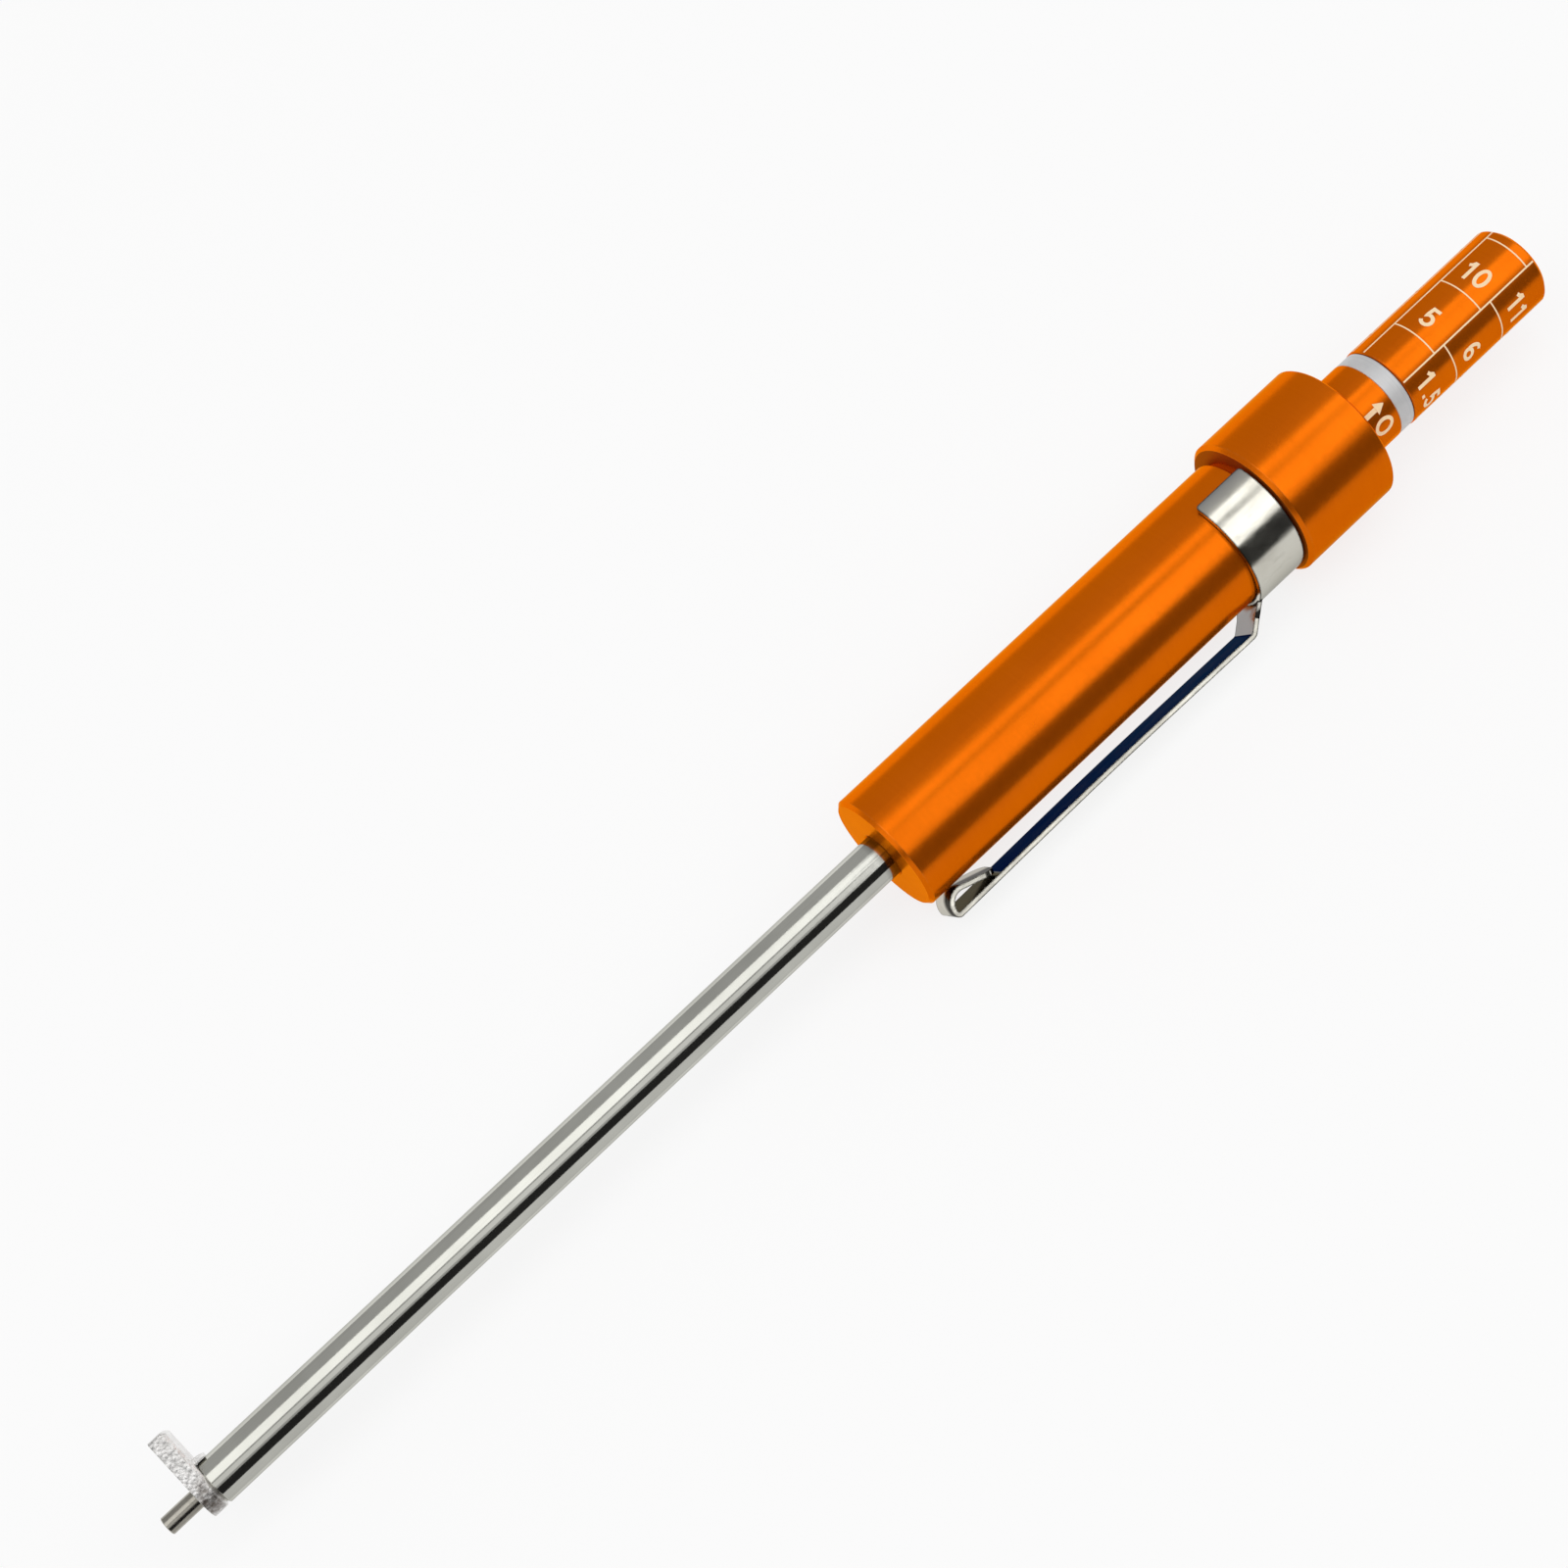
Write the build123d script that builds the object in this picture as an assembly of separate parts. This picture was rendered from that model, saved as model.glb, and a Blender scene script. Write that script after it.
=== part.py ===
from build123d import *
import os
from math import cos, radians, sin, tan

# Brake pad thickness gauge: a slim tube with a stepped foot, and a sprung pin pushed out of it by a scale drum.
# All lengths are millimetres. The probe's axis is X, with the tip towards -X and the drum towards +X. The
# origin is the centre of the foot's front face and +Z is up, as the gauge lies with its clip below it.
# Angles about the axis are measured from +Y towards +Z.

# Foot, tube and pin
pin_radius = 0.7
pin_reach = 2.75
foot_thickness = 1.3
foot_width = 3.4
foot_reach = 4.85
foot_angle = 30.0
tube_radius = 1.7
tube_bore_radius = 0.75

# Barrel
barrel_front = 63.3
barrel_length = 37.0
barrel_radius = 4.85
barrel_bore_radius = 3.95
front_wall = 9.55
neck_length = 4.4
neck_radius = 4.45

# Rear collar
collar_gap = 0.5
collar_length = 8.8
collar_radius = 5.9
collar_bore_radius = 3.52

# Scale stack: the zero line is the front edge of the limit ring, and the drum starts at its 1.5 mm mark
zero_line = 113.13
limit_mark = 1.5
ring_radius = 3.38
ring_gap = 0.05
drum_length = 14.4
drum_radius = 3.45
stem_radius = 3.4
flange_radius = 3.85
flange_thickness = 1.0
stud_radius = 2.0
stud_length = 7.4
lock_screw_radius = 0.8

# Return spring
wire_diameter = 0.5
coil_radius = 2.85
coil_turns = 8

# Pocket clip, bent from one strip
strip_thickness = 0.38
clip_width = 3.2
clip_angle = 222.0
band_front = 96.1
band_length = 4.5
band_wrap = 268.0
band_inner_radius = barrel_radius + 0.1
step_slope = 40.0
arm_height = 6.61
arm_bow = 0.16
curl_radius = 1.17
curl_end_slope = 17.0
curl_left = 64.21
curl_clearance = 0.1
clip_end = 68.45

# Clearances: a sliding or turning fit, and a joint that is screwed or pressed home
running_fit = 0.05
seated_fit = 0.02

# Places along the axis that follow from the sizes above
tube_end = barrel_front + front_wall + 1.8
barrel_rear = barrel_front + barrel_length
collar_front = barrel_rear + collar_gap
collar_rear = collar_front + collar_length
neck_end = barrel_rear + neck_length
washer_thickness = 0.5
flange_rear = neck_end
flange_front = flange_rear - flange_thickness
seat_thickness = 1.0
seat_front = flange_front - seated_fit - seat_thickness
hub_front = flange_front - 4.5
pin_end = hub_front + 8.8
drum_front = zero_line + limit_mark
drum_rear = drum_front + drum_length
lock_screw_x = hub_front + 1.6
band_middle_radius = band_inner_radius + strip_thickness / 2
step_rise = arm_height - band_middle_radius
step_run = step_rise / tan(radians(step_slope))
step_top = (band_front - step_run, arm_height)
step_middle = (band_front - 0.45 * step_run, band_middle_radius + 0.45 * step_rise)


def turned(*corners):
    """A piece turned about the X axis, from the (x, radius) corners of its half section."""
    section = make_face(Polyline(*corners, close=True))
    return revolve(Plane.XZ * section, Axis.X)


def sleeve(x_from, x_to, bore, radius):
    return turned((x_from, bore), (x_from, radius), (x_to, radius), (x_to, bore))


def rim(piece, x, radius):
    """The circular edge of a turned piece at one place along its axis."""
    circles = piece.edges().filter_by(GeomType.CIRCLE)
    return circles.filter_by(lambda e: abs(e.arc_center.X - x) < 0.01 and abs(e.radius - radius) < 0.01)


def measuring_foot():
    """Flat bar across the tube's end, with a round hub for the pin and a gusset behind its flag."""
    hub = Circle(foot_width / 2)
    flag = Pos(foot_reach / 2, 0) * Rectangle(foot_reach, foot_width)
    bore = Circle(pin_radius + running_fit)
    bar = extrude(Plane.YZ * (hub + flag - bore), amount=foot_thickness)
    flag_end = bar.edges().group_by(Axis.Y)[-1]
    bar = fillet(flag_end.filter_by(Axis.X), 0.35)
    bar = chamfer(bar.edges().group_by(Axis.X)[-1].group_by(Axis.Y)[-1], 0.25)
    return Rot(X=foot_angle) * (bar + foot_gusset())


def foot_gusset():
    rib_width = 1.6
    rib_height = 0.38
    rib_length = 0.75
    foot_of_rib = tube_radius + seated_fit
    top = foot_of_rib + rib_height
    back = foot_thickness
    corners = [(back - 0.2, foot_of_rib), (back - 0.2, top), (back + 0.6 * rib_length, top),
               (back + rib_length, top - 0.4 * rib_height), (back + rib_length, foot_of_rib)]
    profile = Plane.XY * make_face(Polyline(*corners, close=True))
    return extrude(profile, amount=rib_width / 2, both=True)


def probe_tube():
    tube = sleeve(foot_thickness, tube_end, tube_bore_radius, tube_radius)
    return chamfer(rim(tube, foot_thickness, tube_radius), 0.08)


def tube_ferrule():
    """Flanged ring fixed on the tube's rear end, held against the barrel's front wall by the spring."""
    front = barrel_front + front_wall + seated_fit
    ferrule = sleeve(front, tube_end, tube_radius + seated_fit, barrel_bore_radius - 0.1)
    return chamfer(rim(ferrule, tube_end, barrel_bore_radius - 0.1), 0.3)


def probe_pin():
    pin = turned((-pin_reach, 0), (-pin_reach, pin_radius), (pin_end, pin_radius), (pin_end, 0))
    return chamfer(rim(pin, -pin_reach, pin_radius), 0.06)


def barrel():
    """Hollow grip with a thick front wall around the tube and a thin neck that screws into the collar."""
    wall_rear = barrel_front + front_wall
    hole = tube_radius + seated_fit
    body = turned((barrel_front, hole), (barrel_front, barrel_radius), (barrel_rear, barrel_radius),
                  (barrel_rear, neck_radius), (neck_end, neck_radius), (neck_end, barrel_bore_radius),
                  (wall_rear, barrel_bore_radius), (wall_rear, hole))
    body = chamfer(rim(body, barrel_front, barrel_radius), 0.3)
    body = chamfer(rim(body, barrel_rear, barrel_radius), 0.25)
    return chamfer(rim(body, barrel_front, hole), 0.15)


def rear_collar():
    """Collar over the barrel's neck; its rear edge is the line at which the scale is read."""
    step = neck_end + washer_thickness
    counterbore = neck_radius + seated_fit
    body = turned((collar_front, counterbore), (collar_front, collar_radius), (collar_rear, collar_radius),
                  (collar_rear, collar_bore_radius), (step, collar_bore_radius), (step, counterbore))
    body = chamfer(rim(body, collar_front, collar_radius), 0.3)
    body = chamfer(rim(body, collar_rear, collar_radius), 0.15)
    return chamfer(rim(body, collar_rear, collar_bore_radius), 0.15)


def stop_washer():
    """Thin washer between neck and collar, on which the stem's flange comes to rest."""
    x_from = neck_end + seated_fit
    x_to = neck_end + washer_thickness - seated_fit
    return sleeve(x_from, x_to, collar_bore_radius + 0.04, neck_radius - running_fit)


def spring_seat():
    """Ring between spring and flange, so that turning the drum doesn't wind the spring."""
    seat = sleeve(seat_front, flange_front - seated_fit, stud_radius + running_fit, flange_radius)
    return chamfer(rim(seat, seat_front, flange_radius), 0.3)


def return_spring():
    """Open coil between the ferrule and the seat, with a six-sided section for the round wire."""
    first = tube_end + wire_diameter / 2
    last = seat_front - wire_diameter / 2
    length = last - first
    path = Helix(pitch=length / coil_turns, height=length, radius=coil_radius)
    wire = Plane(origin=path @ 0, z_dir=path % 0) * RegularPolygon(wire_diameter / 2, 6)
    coil = sweep(wire, path=path, is_frenet=True)
    return Pos(first, 0, 0) * Rot(Y=90) * coil


def zero_stem():
    """Plunger body: spring hub, stop flange, the stem that carries the zero mark, and a stud for the drum."""
    socket = pin_radius + seated_fit
    stud_end = zero_line + stud_length
    body = turned((hub_front, socket), (hub_front, stud_radius), (flange_front, stud_radius),
                  (flange_front, flange_radius), (flange_rear, flange_radius), (flange_rear, stem_radius),
                  (zero_line, stem_radius), (zero_line, stud_radius), (stud_end, stud_radius), (stud_end, 0),
                  (pin_end + 0.1, 0), (pin_end + 0.1, socket))
    body = chamfer(rim(body, hub_front, stud_radius), 0.3)
    body = chamfer(rim(body, stud_end, stud_radius), 0.3)
    return body - lock_screw_bore()


def lock_screw_bore():
    bore = Cylinder(lock_screw_radius + seated_fit, stud_radius, align=(Align.CENTER, Align.CENTER, Align.MIN))
    return Pos(lock_screw_x, 0, 0) * bore


def pin_lock_screw():
    """Grub screw that clamps the pin in the stem once its zero has been set."""
    bottom = pin_radius + seated_fit
    length = stud_radius - 0.1 - bottom
    body = Cylinder(lock_screw_radius, length, align=(Align.CENTER, Align.CENTER, Align.MIN))
    body = chamfer(body.edges().group_by(Axis.Z)[-1], 0.1)
    socket = extrude(RegularPolygon(0.4, 6, major_radius=False), amount=0.7)
    return Pos(lock_screw_x, 0, bottom) * (body - Pos(0, 0, length - 0.7) * socket)


def limit_ring():
    """Plain metal ring between 0 and 1.5 mm, the stretch of the scale where a pad is worn out."""
    rear = drum_front - ring_gap
    ring = sleeve(zero_line, rear, stud_radius + seated_fit, ring_radius)
    return chamfer(rim(ring, zero_line, ring_radius) + rim(ring, rear, ring_radius), 0.08)


def scale_drum():
    """Push drum that carries the scale, screwed on the stud, with a low spigot that seats on the ring."""
    thread = stud_radius + seated_fit
    hole_end = zero_line + stud_length + 0.5
    spigot_front = drum_front - ring_gap
    spigot_radius = ring_radius - 0.5
    body = turned((spigot_front, thread), (spigot_front, spigot_radius), (drum_front, spigot_radius),
                  (drum_front, drum_radius), (drum_rear, drum_radius), (drum_rear, 0),
                  (hole_end, 0), (hole_end, thread))
    body = chamfer(rim(body, drum_front, drum_radius), 0.08)
    return chamfer(rim(body, drum_rear, drum_radius), 0.3)


def clip_band():
    """Open ring that grips the barrel, with its gap opposite the arm."""
    middle = Pos(band_front + band_length / 2, band_middle_radius)
    ring = revolve(middle * Rectangle(band_length, strip_thickness), Axis.X, revolution_arc=band_wrap)
    ring = Rot(X=-band_wrap / 2) * ring
    corners = ring.edges().filter_by(lambda edge: abs(edge.length - strip_thickness) < 0.01)
    return fillet(corners, 0.3)


def clip_arm():
    """Bowed arm with its curled end: one strip swept along the middle of its thickness."""
    slope = radians(curl_end_slope)
    curl_low = barrel_radius + curl_clearance + strip_thickness / 2
    tangent_x = curl_left + curl_radius * (1 + sin(slope))
    tangent_y = curl_low + curl_radius * (1 - cos(slope))
    curl_corner = (curl_left, tangent_y - (tangent_x - curl_left) * tan(slope))
    free_end = (clip_end, tangent_y + (clip_end - tangent_x) * tan(slope))
    arm_middle = ((step_top[0] + curl_left) / 2, arm_height - arm_bow)
    arm_corner = (curl_left, arm_height)
    path = FilletPolyline(step_middle, step_top, arm_middle, arm_corner, curl_corner, free_end,
                          radius=[0.6, 500, 0.27, curl_radius])
    strip = sweep(strip_section(path @ 0, path % 0), path=path)
    short_edges = strip.edges().filter_by(lambda edge: abs(edge.length - strip_thickness) < 0.01)
    tip = short_edges.sort_by(lambda edge: abs(edge.center().X - clip_end))[:2]
    return fillet(tip, 0.9)


def strip_section(origin, along):
    return Plane(origin=origin, x_dir=(0, 0, 1), z_dir=along) * Rectangle(clip_width, strip_thickness)


def clip_root():
    """Stretch of the step where the band's curved wall flattens and narrows into the arm."""
    inner = band_inner_radius
    outer = inner + strip_thickness
    spread = 23
    arcs = [CenterArc((0, 0), inner, -spread, 2 * spread), CenterArc((0, 0), outer, -spread, 2 * spread)]
    sides = [Line(arcs[0] @ end, arcs[1] @ end) for end in (0, 1)]
    curved = Plane.YZ.offset(band_front + 0.3) * make_face(arcs + sides)
    flat = strip_section(step_middle, (step_top[0] - step_middle[0], step_top[1] - step_middle[1]))
    return loft([curved, flat])


def pocket_clip():
    """Spring clip that slips on the barrel's rear end and can be turned round it."""
    return Rot(X=clip_angle) * (clip_band() + clip_root() + clip_arm())


nodes = {
    "measuring_foot": measuring_foot,
    "probe_tube": probe_tube,
    "tube_ferrule": tube_ferrule,
    "probe_pin": probe_pin,
    "barrel": barrel,
    "rear_collar": rear_collar,
    "stop_washer": stop_washer,
    "return_spring": return_spring,
    "spring_seat": spring_seat,
    "zero_stem": zero_stem,
    "pin_lock_screw": pin_lock_screw,
    "limit_ring": limit_ring,
    "scale_drum": scale_drum,
    "pocket_clip": pocket_clip,
}

os.makedirs("parts", exist_ok=True)
for name, build in nodes.items():
    export_step(build(), f"parts/{name}.step")
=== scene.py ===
from math import ceil, cos, hypot, pi, radians, sin, tan

import bmesh
import bpy
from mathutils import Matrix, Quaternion, Vector


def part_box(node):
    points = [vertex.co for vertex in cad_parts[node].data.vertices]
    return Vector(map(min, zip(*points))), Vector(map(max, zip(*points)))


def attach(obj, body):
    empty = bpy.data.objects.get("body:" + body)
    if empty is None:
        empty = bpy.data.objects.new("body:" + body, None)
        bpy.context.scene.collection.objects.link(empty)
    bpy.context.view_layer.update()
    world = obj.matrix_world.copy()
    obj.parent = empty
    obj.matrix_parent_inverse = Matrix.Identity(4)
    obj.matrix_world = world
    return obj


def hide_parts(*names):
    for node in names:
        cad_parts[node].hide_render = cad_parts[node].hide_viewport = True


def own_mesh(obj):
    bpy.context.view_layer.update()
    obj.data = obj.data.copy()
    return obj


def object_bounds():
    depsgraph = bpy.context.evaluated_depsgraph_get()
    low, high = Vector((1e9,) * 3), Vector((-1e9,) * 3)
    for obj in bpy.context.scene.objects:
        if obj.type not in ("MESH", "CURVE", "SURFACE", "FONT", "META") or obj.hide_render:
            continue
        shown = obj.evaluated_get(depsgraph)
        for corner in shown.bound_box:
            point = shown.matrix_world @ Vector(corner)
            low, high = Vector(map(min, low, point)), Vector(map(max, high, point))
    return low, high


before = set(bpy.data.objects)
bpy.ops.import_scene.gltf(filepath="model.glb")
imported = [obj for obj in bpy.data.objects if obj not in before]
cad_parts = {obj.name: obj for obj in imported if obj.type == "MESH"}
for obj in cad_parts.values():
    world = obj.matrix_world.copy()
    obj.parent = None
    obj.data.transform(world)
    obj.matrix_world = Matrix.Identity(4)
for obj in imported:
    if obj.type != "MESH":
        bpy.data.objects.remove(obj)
cad_low, cad_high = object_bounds()
millimetre = 0.001

# Camera: it looks down on the gauge from the foot's side, rolled so that the drum points up right
camera_aim = Vector((62.57, 9.97, 0)) * millimetre
camera_distance = 204.7 * millimetre
camera_bearing = radians(-109.92)
camera_elevation = radians(55.91)
camera_roll = radians(-26)
camera_lens = 65.11
camera_near_limit = 0.01
sensor_width = 36

# Angles round the gauge's axis go from +Y towards +Z, here and below

# Lamps: each hangs over one stretch of the gauge, as seen in its reflections
lamp_distance = 1.0
over_probe = (-1.733, 0.267)
over_handle = (0.267, 0.55)
over_drum = (0.55, 2.267)

# Cards: a ceiling, a black flag on the camera's side, and aprons on the floor up to the gauge
card_reach = 3.0
ceiling_distance = 1.4
ceiling_first = 2
ceiling_last = 148
flag_last = 180
flag_place = -0.35
apron_change = -0.052
apron_end = -0.004

# Surround: how much of its white lights the object, and how much of the floor's is for the eye
world_light = 0.58
floor_share = 0.8
floor_half = 4.0
floor_gap = 0.02 * millimetre

# Scale on the drum
scale_start = radians(66.8)
column_angle = radians(67.2)
column_count = 5
scale_length = 15
first_line = 2
last_label = 12
first_mark = 1.5
frame_start = 0.15 * millimetre
frame_end = 0.3 * millimetre
line_width = 0.11 * millimetre
axial_line_width = 0.13 * millimetre
label_lift = 0.93 * millimetre
label_shift = -0.14 * millimetre
second_label_shift = 0.08 * millimetre
print_offset = -0.09 * millimetre

# Digits: the stroke and the pitches are parts of the height
digit_height = 1.74 * millimetre
digit_stroke = 0.165
digit_pitch = 0.66
point_pitch = 0.4

# Marks: how far they stand out, and the longest flat step along them
mark_height = 0.012 * millimetre
line_step = 0.16 * millimetre
arrow_step = 0.08 * millimetre
sharpest_mitre = 0.6

# Arrow and nought on the stem
stem_radius = 3.4 * millimetre
arrow_angle = radians(135)
arrow_tip = 0.56 * millimetre
arrow_length = 1.95 * millimetre
head_length = 0.42 * arrow_length
head_half_width = 0.25 * arrow_length
shaft_width = 0.2 * arrow_length
zero_angle = radians(160.4)
zero_stretch = 1.28

# Return spring: round wire in the space of the CAD coil
coil_turns = 8
coil_radius = 2.85 * millimetre
wire_radius = 0.25 * millimetre
steps_per_turn = 24
wire_sides = 12
spring_low, spring_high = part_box("return_spring")

# Places on the other pieces
drum_low, drum_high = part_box("scale_drum")
drum_radius = drum_high.z
zero_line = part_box("limit_ring")[0].x
barrel_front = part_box("barrel")[0].x
collar_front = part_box("rear_collar")[0].x
foot_rim = (1.2 * millimetre, 0.95 * millimetre)
hub_edge = (1.95 * millimetre, 1.75 * millimetre)

# Places on the clip
clip_bearing = radians(222)
clip_inward = Vector((0, -cos(clip_bearing), -sin(clip_bearing)))
clip_sideways = Vector((0, -sin(clip_bearing), cos(clip_bearing)))
clip_low, clip_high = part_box("pocket_clip")
band_front = clip_high.x - 4.5 * millimetre
band_fade = (band_front, band_front + 0.5 * millimetre)
arm_depth = 6.1 * millimetre
arm_half_width = 1.6 * millimetre
curl_end = clip_low.x + 4.45 * millimetre
curl_fade = (curl_end, curl_end + 0.2 * millimetre)
curl_offset = Vector((1.6 * millimetre, 0, 0)) - 6.0 * millimetre * clip_inward
curl_middle = Vector((clip_low.x, 0, 0)) + curl_offset

# Greys between which most of a noise lies
wide_noise = (0.3, 0.7)
narrow_noise = (0.35, 0.65)

white = (1, 1, 1, 1)


# Nodes

def add(tree, kind, inputs=None, **settings):
    """Adds one shader node. An input is a value, or an output of another node."""
    node = tree.nodes.new("ShaderNode" + kind)
    for name, value in settings.items():
        setattr(node, name, value)
    for name, value in (inputs or {}).items():
        if isinstance(value, bpy.types.NodeSocket):
            tree.links.new(value, node.inputs[name])
        else:
            node.inputs[name].default_value = value
    return node


def calculate(tree, operation, first, second=0.0):
    """The output of one maths node."""
    return add(tree, "Math", {0: first, 1: second}, operation=operation).outputs[0]


def plus(tree, first, second):
    """One value added to another."""
    return calculate(tree, "ADD", first, second)


def multiply(tree, first, second):
    """One value times another."""
    return calculate(tree, "MULTIPLY", first, second)


def spread(tree, value, low, high, to_low=0.0, to_high=1.0):
    """A value moved from one range to another, and kept within it."""
    inputs = {"Value": value, "From Min": low, "From Max": high}
    inputs.update({"To Min": to_low, "To Max": to_high})
    return add(tree, "MapRange", inputs).outputs["Result"]


def dot(tree, first, second):
    """The dot product of two vectors."""
    node = add(tree, "VectorMath", {0: first, 1: second}, operation="DOT_PRODUCT")
    return node.outputs["Value"]


def coordinate(tree, vector, axis):
    """One coordinate of a vector."""
    return add(tree, "SeparateXYZ", {"Vector": vector}).outputs[axis]


def axis_distance(tree, place):
    """How far a place is from the gauge's axis."""
    parts = add(tree, "SeparateXYZ", {"Vector": place})
    inputs = {"Y": parts.outputs["Y"], "Z": parts.outputs["Z"]}
    flat = add(tree, "CombineXYZ", inputs).outputs["Vector"]
    return add(tree, "VectorMath", {0: flat}, operation="LENGTH").outputs["Value"]


def blend_colours(tree, factor, first, second):
    """The output of a colour mix."""
    node = add(tree, "Mix", data_type="RGBA")
    for index, value in ((0, factor), (6, first), (7, second)):
        if isinstance(value, bpy.types.NodeSocket):
            tree.links.new(value, node.inputs[index])
        else:
            node.inputs[index].default_value = value
    return node.outputs[2]


def noise(tree, vector, scale, detail=3.0, roughness=0.55):
    """The grey output of a noise texture."""
    inputs = {"Vector": vector, "Scale": scale, "Detail": detail, "Roughness": roughness}
    return add(tree, "TexNoise", inputs).outputs["Fac"]


def stretched(tree, place, along, across):
    """Coordinates scaled less along the axis than across it, for marks that run along it."""
    inputs = {"Vector": place, "Scale": (along, across, across)}
    return add(tree, "Mapping", inputs).outputs["Vector"]


def turning_lines(tree, place, spacing):
    """Fine rings round the axis, on cylinders and on end faces, as a lathe leaves them."""
    along = plus(tree, coordinate(tree, place, "X"), axis_distance(tree, place))
    inputs = {"W": along, "Scale": 1 / spacing, "Detail": 2.0}
    return add(tree, "TexNoise", inputs, noise_dimensions="1D").outputs["Fac"]


def rounded_normal(tree, radius):
    """The normal with the edges rounded by a small radius."""
    return add(tree, "Bevel", {"Radius": radius}, samples=6).outputs["Normal"]


def edge_mask(tree, grain, radius, faint=0.995, full=0.86):
    """1 along the edges and 0 on the faces, broken up by a noise.

    Faint and full, which compare the rounded normal with the plain one, set how sharply it ends."""
    plain = add(tree, "NewGeometry").outputs["Normal"]
    alike = dot(tree, rounded_normal(tree, radius), plain)
    broken = spread(tree, grain, 0.35, 0.6)
    return multiply(tree, spread(tree, alike, faint, full), broken)


def wear_edges(tree, colour, grain, pale, radius, amount):
    """The colour with paler, worn edges."""
    worn = edge_mask(tree, grain, radius)
    return blend_colours(tree, multiply(tree, worn, amount), colour, pale)


def link(tree, output, shader, name):
    """Links an output to one of the shader's inputs."""
    tree.links.new(output, shader.inputs[name])


def bump_surface(tree, shader, height, strength, distance, rounding=None):
    """Gives the shader a bump, over edges rounded by a small radius where one is named."""
    inputs = {"Height": height, "Strength": strength, "Distance": distance}
    if rounding is not None:
        inputs["Normal"] = rounded_normal(tree, rounding)
    link(tree, add(tree, "Bump", inputs).outputs["Normal"], shader, "Normal")


def set_gloss(tree, shader, grain, smooth, rough):
    """Gives the shader a roughness that wanders between two values with a noise."""
    link(tree, spread(tree, grain, *wide_noise, smooth, rough), shader, "Roughness")


def empty_tree(owner):
    """The cleared node tree of a material or of the world."""
    owner.use_nodes = True
    owner.node_tree.nodes.clear()
    return owner.node_tree


def start_material(name):
    """A material with a Principled shader, and the object's own coordinates in metres."""
    material = bpy.data.materials.new(name)
    tree = empty_tree(material)
    shader = add(tree, "BsdfPrincipled")
    add(tree, "OutputMaterial", {"Surface": shader.outputs["BSDF"]})
    place = add(tree, "TexCoord").outputs["Object"]
    return material, tree, shader, place


# Materials

def anodised_orange():
    """Orange anodised aluminium: dyed metal with fine lathe rings and pale worn edges."""
    light_dye = (0.9, 0.178, 0.004, 1)
    deep_dye = (0.84, 0.16, 0.003, 1)
    ring_dye = (0.66, 0.11, 0.001, 1)
    bare_edge = (0.95, 0.4, 0.1, 1)
    # A darker brown for the collar's front face
    collar_face_brown = (0.42, 0.1, 0.012, 1)
    material, tree, shader, place = start_material("anodised_orange")
    cloud = noise(tree, place, scale=160)
    grain = noise(tree, place, scale=2600, detail=4.0)
    rings = turning_lines(tree, place, spacing=0.22 * millimetre)
    darkened_collar_face = collar_face_mask(tree, place)
    colour = blend_colours(tree, spread(tree, cloud, *wide_noise), light_dye, deep_dye)
    ringed = spread(tree, rings, *wide_noise, to_high=0.1)
    colour = blend_colours(tree, ringed, colour, ring_dye)
    colour = wear_edges(tree, colour, grain, bare_edge, radius=0.12 * millimetre, amount=0.4)
    # The collar's front face is made darker and browner
    colour = blend_colours(tree, darkened_collar_face, colour, collar_face_brown)
    link(tree, colour, shader, "Base Color")
    fine = spread(tree, grain, *wide_noise, to_low=0.2, to_high=0.25)
    broad = spread(tree, cloud, *wide_noise, to_high=0.03)
    collar_face_dullness = multiply(tree, darkened_collar_face, 0.3)
    link(tree, plus(tree, plus(tree, fine, broad), collar_face_dullness), shader, "Roughness")
    shader.inputs["Metallic"].default_value = 0.8
    shader.inputs["Specular IOR Level"].default_value = 0.0
    shader.inputs["Specular Tint"].default_value = (1.0, 0.62, 0.1, 1)
    height = plus(tree, rings, multiply(tree, grain, 0.25))
    bump_surface(tree, shader, height, strength=0.1, distance=0.008 * millimetre,
                 rounding=0.08 * millimetre)
    return material


def collar_face_mask(tree, place):
    """1 on the collar's front face, which is made darker, browner and duller."""
    slack = 0.1 * millimetre
    facing = coordinate(tree, add(tree, "TexCoord").outputs["Normal"], "X")
    along = coordinate(tree, place, "X")
    behind = calculate(tree, "GREATER_THAN", along, collar_front - slack)
    before = calculate(tree, "LESS_THAN", along, collar_front + slack)
    at_front = multiply(tree, behind, before)
    return multiply(tree, at_front, spread(tree, facing, -0.8, -0.95))


def bright_metal(name, light, dark, smooth, rough, lines, ring_spacing=0.3 * millimetre,
                 edge=(0.95, 0.94, 0.9, 1)):
    """Bare metal: a light and a dark tone, an uneven gloss, and rings round the axis."""
    material, tree, shader, place = start_material(name)
    cloud = noise(tree, place, scale=220, detail=4.0)
    grain = noise(tree, place, scale=3200, detail=4.0)
    rings = turning_lines(tree, place, ring_spacing)
    colour = blend_colours(tree, spread(tree, cloud, *narrow_noise), light, dark)
    ringed = spread(tree, rings, 0.4, 0.75, to_high=lines)
    colour = blend_colours(tree, ringed, colour, dark)
    colour = wear_edges(tree, colour, grain, edge, radius=0.1 * millimetre, amount=0.6)
    link(tree, colour, shader, "Base Color")
    set_gloss(tree, shader, grain, smooth, rough)
    shader.inputs["Metallic"].default_value = 1.0
    height = plus(tree, multiply(tree, rings, lines * 4), grain)
    bump_surface(tree, shader, height, strength=0.15, distance=0.01 * millimetre,
                 rounding=0.05 * millimetre)
    return material


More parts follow.
